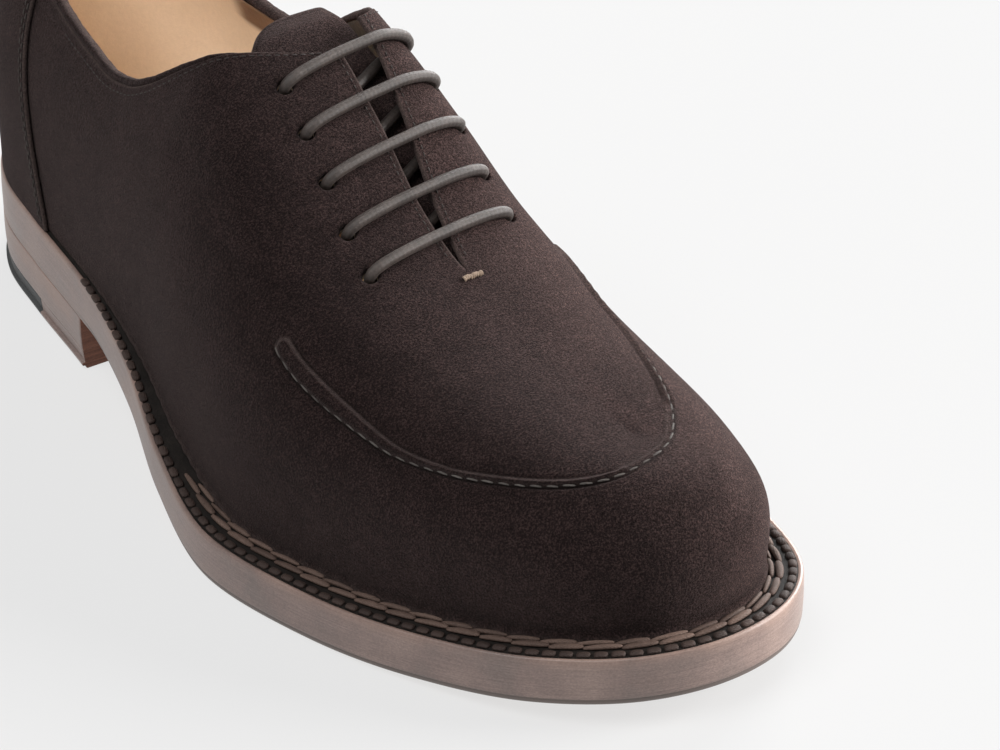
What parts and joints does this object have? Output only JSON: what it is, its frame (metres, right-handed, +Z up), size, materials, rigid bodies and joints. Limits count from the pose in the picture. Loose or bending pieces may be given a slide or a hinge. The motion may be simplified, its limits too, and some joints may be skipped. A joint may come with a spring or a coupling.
{
  "type": "oxford shoe",
  "caption": "Right-foot suede oxford with a pinched apron seam, straight lacing, a sprung tongue, a braided Norwegian welt, a leather sole and a stacked heel with a rubber tip",
  "frame": {"origin": "centre of the bounding box's base, on the ground the shoe stands on", "axes": "+Z up; toe toward -Y and heel toward +Y; the wearer's outer (right) side toward -X"},
  "size_m": [0.12, 0.3034, 0.1103],
  "materials": {
    "suede": "brushed suede, dark brown",
    "sole_leather": "dyed and burnished edge",
    "board": "pressed fibre board",
    "cork": "cork filling",
    "steel": "spring steel",
    "insole_leather": "natural",
    "sock_leather": "smooth, pale tan",
    "lining_leather": "smooth, tan",
    "vamp_cloth": "woven drill",
    "rubber": "matt",
    "lace_cotton": "waxed braid",
    "aglet_plastic": "dark",
    "thread": "heavy waxed thread",
    "tack_thread": "beige thread"
  },
  "bodies": {
    "shoe": {"outsole": "sole_leather", "midsole": "sole_leather", "norwegian_welt": "sole_leather", "heel_rand": "sole_leather", "cork_filler": "cork", "shank": "steel", "insole": "insole_leather", "sock_liner": "sock_leather", "top_piece_rubber": "rubber", "top_piece_leather": "sole_leather", "heel_lift_lower": "sole_leather", "heel_lift_middle": "sole_leather", "heel_lift_seat": "sole_leather", "wholecut_upper": "suede", "heel_cover": "suede", "heel_stiffener": "board", "toe_puff": "board", "quarter_lining": "lining_leather", "vamp_lining": "vamp_cloth", "lace": "lace_cotton", "aglet_inner": "aglet_plastic", "aglet_outer": "aglet_plastic", "norwegian_braid_upper": "thread", "norwegian_braid_lower": "thread", "welt_stitching": "thread", "apron_ridge": "suede", "cover_stitching_outer_1": "thread", "cover_stitching_outer_2": "thread", "cover_stitching_inner_1": "thread", "cover_stitching_inner_2": "thread", "topline_binding": "suede", "bar_tack": "tack_thread"},
    "tongue": {"tongue": "suede", "tongue_lining": "lining_leather"}
  },
  "joints": [
    {"name": "tongue_hinge", "type": "hinge", "parent": "shoe", "child": "tongue", "pos_m": [0.0075, -0.0565, 0.0665], "axis": [-1, 0, 0], "range_deg": [0, 8], "stiffness_Nm_per_rad": 0.12, "springref_deg": -20.05}
  ]
}
